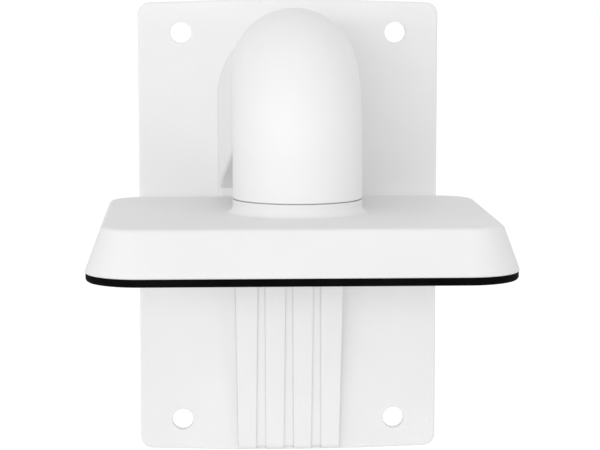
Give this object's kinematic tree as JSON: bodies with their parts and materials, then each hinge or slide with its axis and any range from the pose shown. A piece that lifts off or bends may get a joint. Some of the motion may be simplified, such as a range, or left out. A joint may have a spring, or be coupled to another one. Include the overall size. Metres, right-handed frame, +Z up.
{
  "type": "camera wall bracket",
  "caption": "White cast swan-neck wall bracket with a bolted wall plate, a ribbed spine and a rectangular, rubber-sealed hood that carries a ceiling-type camera.",
  "frame": {"origin": "on the wall plane, at the middle of the four wall bolts", "axes": "+X to the right seen from the front, -Y out of the wall towards the camera hood, +Z up"},
  "size_m": [0.2144, 0.2104, 0.2594],
  "materials": {
    "white_paint": "satin white powder coat",
    "rubber": "matt black rubber",
    "steel": "plain stainless steel"
  },
  "bodies": {
    "root": {"wall_plate": "white_paint", "wall_seal": "rubber", "cable_grommet": "rubber", "arm": "white_paint", "arm_seal": "rubber", "arm_screws": "steel", "hood": "white_paint", "hood_seal": "rubber", "joint_seal": "rubber", "hood_screws": "steel", "hood_washers": "steel", "cable_bush": "rubber", "earth_screw": "steel", "earth_washer": "steel"}
  },
  "joints": []
}
